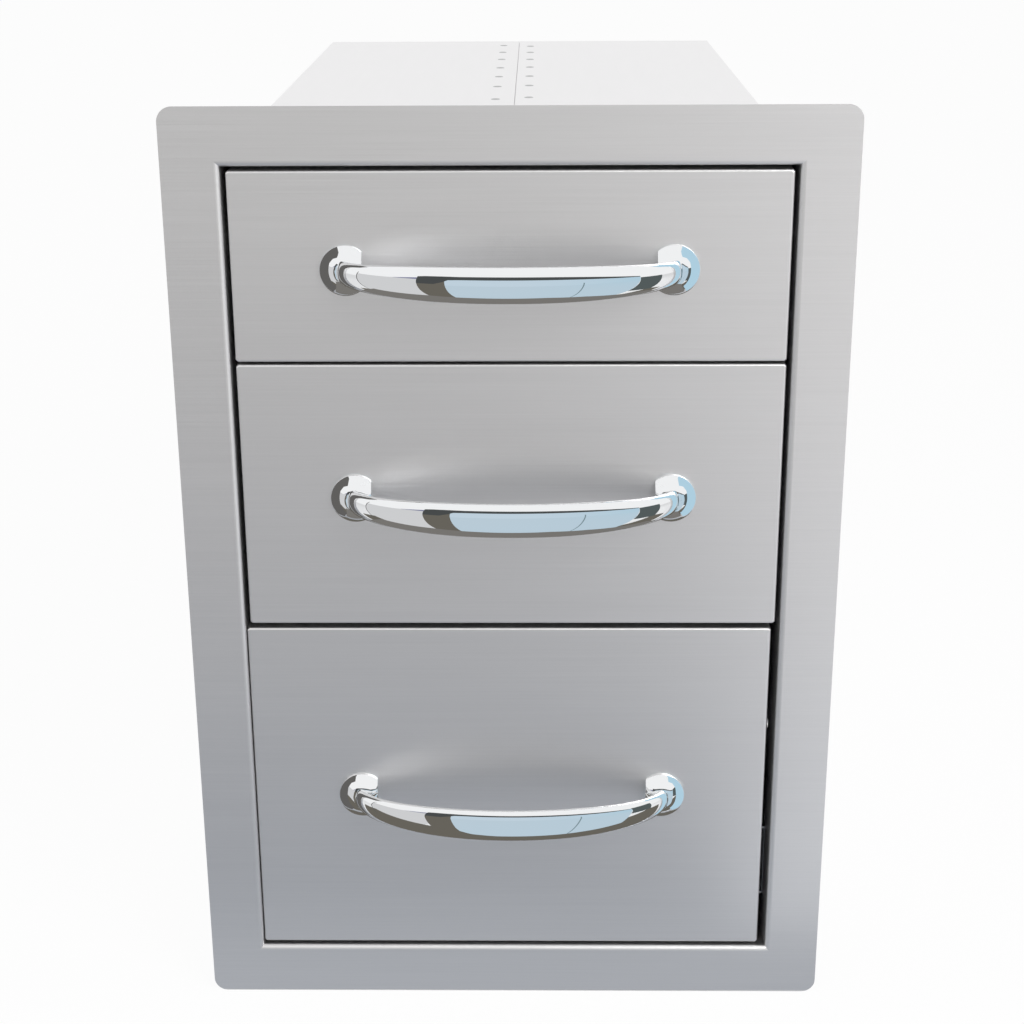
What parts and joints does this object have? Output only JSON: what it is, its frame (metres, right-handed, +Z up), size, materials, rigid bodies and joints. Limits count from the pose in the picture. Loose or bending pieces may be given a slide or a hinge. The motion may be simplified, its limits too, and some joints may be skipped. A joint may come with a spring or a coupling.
{
  "type": "outdoor kitchen drawer unit",
  "caption": "Built-in stainless drawer stack with a flat face frame, bow handles and full-extension ball-bearing slides in a closed sheet-metal carcass.",
  "frame": {"origin": "bottom centre of the plane of the flange's rear face, where the unit seats against its surround", "axes": "+X to the right as seen from the front, +Y from the front into the unit, +Z up"},
  "size_m": [0.362, 0.6337, 0.528],
  "materials": {
    "frame_steel": "brushed stainless steel, fine grain",
    "front_steel": "brushed stainless steel, grain across",
    "carcass_steel": "plain rolled stainless steel, pale and matt",
    "splice_steel": "plain rolled stainless steel",
    "liner_steel": "plain rolled stainless steel",
    "tray_steel": "plain rolled stainless steel",
    "handle_chrome": "polished chrome plate",
    "screw_steel": "bright zinc plate",
    "slide_zinc": "bright zinc plate, lightly greased",
    "cage_steel": "thin pressed steel",
    "buffer_rubber": "black rubber"
  },
  "bodies": {
    "cabinet": {"face_frame": "frame_steel", "carcass_left_half": "carcass_steel", "carcass_right_half": "carcass_steel", "carcass_back_panel": "carcass_steel", "top_splice_strip": "splice_steel", "bottom_splice_strip": "splice_steel", "slide_rear_stops": "buffer_rubber", "bottom_left_cabinet_member": "slide_zinc", "bottom_right_cabinet_member": "slide_zinc", "middle_left_cabinet_member": "slide_zinc", "middle_right_cabinet_member": "slide_zinc", "top_left_cabinet_member": "slide_zinc", "top_right_cabinet_member": "slide_zinc"},
    "bottom_drawer": {"bottom_front_panel": "front_steel", "bottom_front_liner": "liner_steel", "bottom_tray": "tray_steel", "bottom_handle": "handle_chrome", "bottom_handle_screws": "screw_steel", "bottom_left_drawer_member": "slide_zinc", "bottom_right_drawer_member": "slide_zinc"},
    "middle_drawer": {"middle_front_panel": "front_steel", "middle_front_liner": "liner_steel", "middle_tray": "tray_steel", "middle_handle": "handle_chrome", "middle_handle_screws": "screw_steel", "middle_left_drawer_member": "slide_zinc", "middle_right_drawer_member": "slide_zinc"},
    "top_drawer": {"top_front_panel": "front_steel", "top_front_liner": "liner_steel", "top_tray": "tray_steel", "top_handle": "handle_chrome", "top_handle_screws": "screw_steel", "top_left_drawer_member": "slide_zinc", "top_right_drawer_member": "slide_zinc"},
    "bottom_left_middle_member": {"bottom_left_middle_member": "slide_zinc"},
    "bottom_left_outer_cage": {"bottom_left_outer_cage": "cage_steel"},
    "bottom_left_inner_cage": {"bottom_left_inner_cage": "cage_steel"},
    "bottom_right_middle_member": {"bottom_right_middle_member": "slide_zinc"},
    "bottom_right_outer_cage": {"bottom_right_outer_cage": "cage_steel"},
    "bottom_right_inner_cage": {"bottom_right_inner_cage": "cage_steel"},
    "middle_left_middle_member": {"middle_left_middle_member": "slide_zinc"},
    "middle_left_outer_cage": {"middle_left_outer_cage": "cage_steel"},
    "middle_left_inner_cage": {"middle_left_inner_cage": "cage_steel"},
    "middle_right_middle_member": {"middle_right_middle_member": "slide_zinc"},
    "middle_right_outer_cage": {"middle_right_outer_cage": "cage_steel"},
    "middle_right_inner_cage": {"middle_right_inner_cage": "cage_steel"},
    "top_left_middle_member": {"top_left_middle_member": "slide_zinc"},
    "top_left_outer_cage": {"top_left_outer_cage": "cage_steel"},
    "top_left_inner_cage": {"top_left_inner_cage": "cage_steel"},
    "top_right_middle_member": {"top_right_middle_member": "slide_zinc"},
    "top_right_outer_cage": {"top_right_outer_cage": "cage_steel"},
    "top_right_inner_cage": {"top_right_inner_cage": "cage_steel"}
  },
  "joints": [
    {"name": "bottom_drawer_slide", "type": "slide", "parent": "cabinet", "child": "bottom_drawer", "axis": [0, -1, 0], "range_m": [0, 0.54]},
    {"name": "middle_drawer_slide", "type": "slide", "parent": "cabinet", "child": "middle_drawer", "axis": [0, -1, 0], "range_m": [0, 0.54]},
    {"name": "top_drawer_slide", "type": "slide", "parent": "cabinet", "child": "top_drawer", "axis": [0, -1, 0], "range_m": [0, 0.54]},
    {"name": "bottom_left_middle_member_slide", "type": "slide", "parent": "cabinet", "child": "bottom_left_middle_member", "axis": [0, -1, 0], "range_m": [0, 0.27]},
    {"name": "bottom_left_outer_cage_slide", "type": "slide", "parent": "cabinet", "child": "bottom_left_outer_cage", "axis": [0, -1, 0], "range_m": [0, 0.135]},
    {"name": "bottom_left_inner_cage_slide", "type": "slide", "parent": "cabinet", "child": "bottom_left_inner_cage", "axis": [0, -1, 0], "range_m": [0, 0.405]},
    {"name": "bottom_right_middle_member_slide", "type": "slide", "parent": "cabinet", "child": "bottom_right_middle_member", "axis": [0, -1, 0], "range_m": [0, 0.27]},
    {"name": "bottom_right_outer_cage_slide", "type": "slide", "parent": "cabinet", "child": "bottom_right_outer_cage", "axis": [0, -1, 0], "range_m": [0, 0.135]},
    {"name": "bottom_right_inner_cage_slide", "type": "slide", "parent": "cabinet", "child": "bottom_right_inner_cage", "axis": [0, -1, 0], "range_m": [0, 0.405]},
    {"name": "middle_left_middle_member_slide", "type": "slide", "parent": "cabinet", "child": "middle_left_middle_member", "axis": [0, -1, 0], "range_m": [0, 0.27]},
    {"name": "middle_left_outer_cage_slide", "type": "slide", "parent": "cabinet", "child": "middle_left_outer_cage", "axis": [0, -1, 0], "range_m": [0, 0.135]},
    {"name": "middle_left_inner_cage_slide", "type": "slide", "parent": "cabinet", "child": "middle_left_inner_cage", "axis": [0, -1, 0], "range_m": [0, 0.405]},
    {"name": "middle_right_middle_member_slide", "type": "slide", "parent": "cabinet", "child": "middle_right_middle_member", "axis": [0, -1, 0], "range_m": [0, 0.27]},
    {"name": "middle_right_outer_cage_slide", "type": "slide", "parent": "cabinet", "child": "middle_right_outer_cage", "axis": [0, -1, 0], "range_m": [0, 0.135]},
    {"name": "middle_right_inner_cage_slide", "type": "slide", "parent": "cabinet", "child": "middle_right_inner_cage", "axis": [0, -1, 0], "range_m": [0, 0.405]},
    {"name": "top_left_middle_member_slide", "type": "slide", "parent": "cabinet", "child": "top_left_middle_member", "axis": [0, -1, 0], "range_m": [0, 0.27]},
    {"name": "top_left_outer_cage_slide", "type": "slide", "parent": "cabinet", "child": "top_left_outer_cage", "axis": [0, -1, 0], "range_m": [0, 0.135]},
    {"name": "top_left_inner_cage_slide", "type": "slide", "parent": "cabinet", "child": "top_left_inner_cage", "axis": [0, -1, 0], "range_m": [0, 0.405]},
    {"name": "top_right_middle_member_slide", "type": "slide", "parent": "cabinet", "child": "top_right_middle_member", "axis": [0, -1, 0], "range_m": [0, 0.27]},
    {"name": "top_right_outer_cage_slide", "type": "slide", "parent": "cabinet", "child": "top_right_outer_cage", "axis": [0, -1, 0], "range_m": [0, 0.135]},
    {"name": "top_right_inner_cage_slide", "type": "slide", "parent": "cabinet", "child": "top_right_inner_cage", "axis": [0, -1, 0], "range_m": [0, 0.405]}
  ],
  "couplings": [
    {"joint": "bottom_left_middle_member_slide", "follows": "bottom_drawer_slide", "ratio": 0.5},
    {"joint": "bottom_left_outer_cage_slide", "follows": "bottom_drawer_slide", "ratio": 0.25},
    {"joint": "bottom_left_inner_cage_slide", "follows": "bottom_drawer_slide", "ratio": 0.75},
    {"joint": "bottom_right_middle_member_slide", "follows": "bottom_drawer_slide", "ratio": 0.5},
    {"joint": "bottom_right_outer_cage_slide", "follows": "bottom_drawer_slide", "ratio": 0.25},
    {"joint": "bottom_right_inner_cage_slide", "follows": "bottom_drawer_slide", "ratio": 0.75},
    {"joint": "middle_left_middle_member_slide", "follows": "middle_drawer_slide", "ratio": 0.5},
    {"joint": "middle_left_outer_cage_slide", "follows": "middle_drawer_slide", "ratio": 0.25},
    {"joint": "middle_left_inner_cage_slide", "follows": "middle_drawer_slide", "ratio": 0.75},
    {"joint": "middle_right_middle_member_slide", "follows": "middle_drawer_slide", "ratio": 0.5},
    {"joint": "middle_right_outer_cage_slide", "follows": "middle_drawer_slide", "ratio": 0.25},
    {"joint": "middle_right_inner_cage_slide", "follows": "middle_drawer_slide", "ratio": 0.75},
    {"joint": "top_left_middle_member_slide", "follows": "top_drawer_slide", "ratio": 0.5},
    {"joint": "top_left_outer_cage_slide", "follows": "top_drawer_slide", "ratio": 0.25},
    {"joint": "top_left_inner_cage_slide", "follows": "top_drawer_slide", "ratio": 0.75},
    {"joint": "top_right_middle_member_slide", "follows": "top_drawer_slide", "ratio": 0.5},
    {"joint": "top_right_outer_cage_slide", "follows": "top_drawer_slide", "ratio": 0.25},
    {"joint": "top_right_inner_cage_slide", "follows": "top_drawer_slide", "ratio": 0.75}
  ]
}
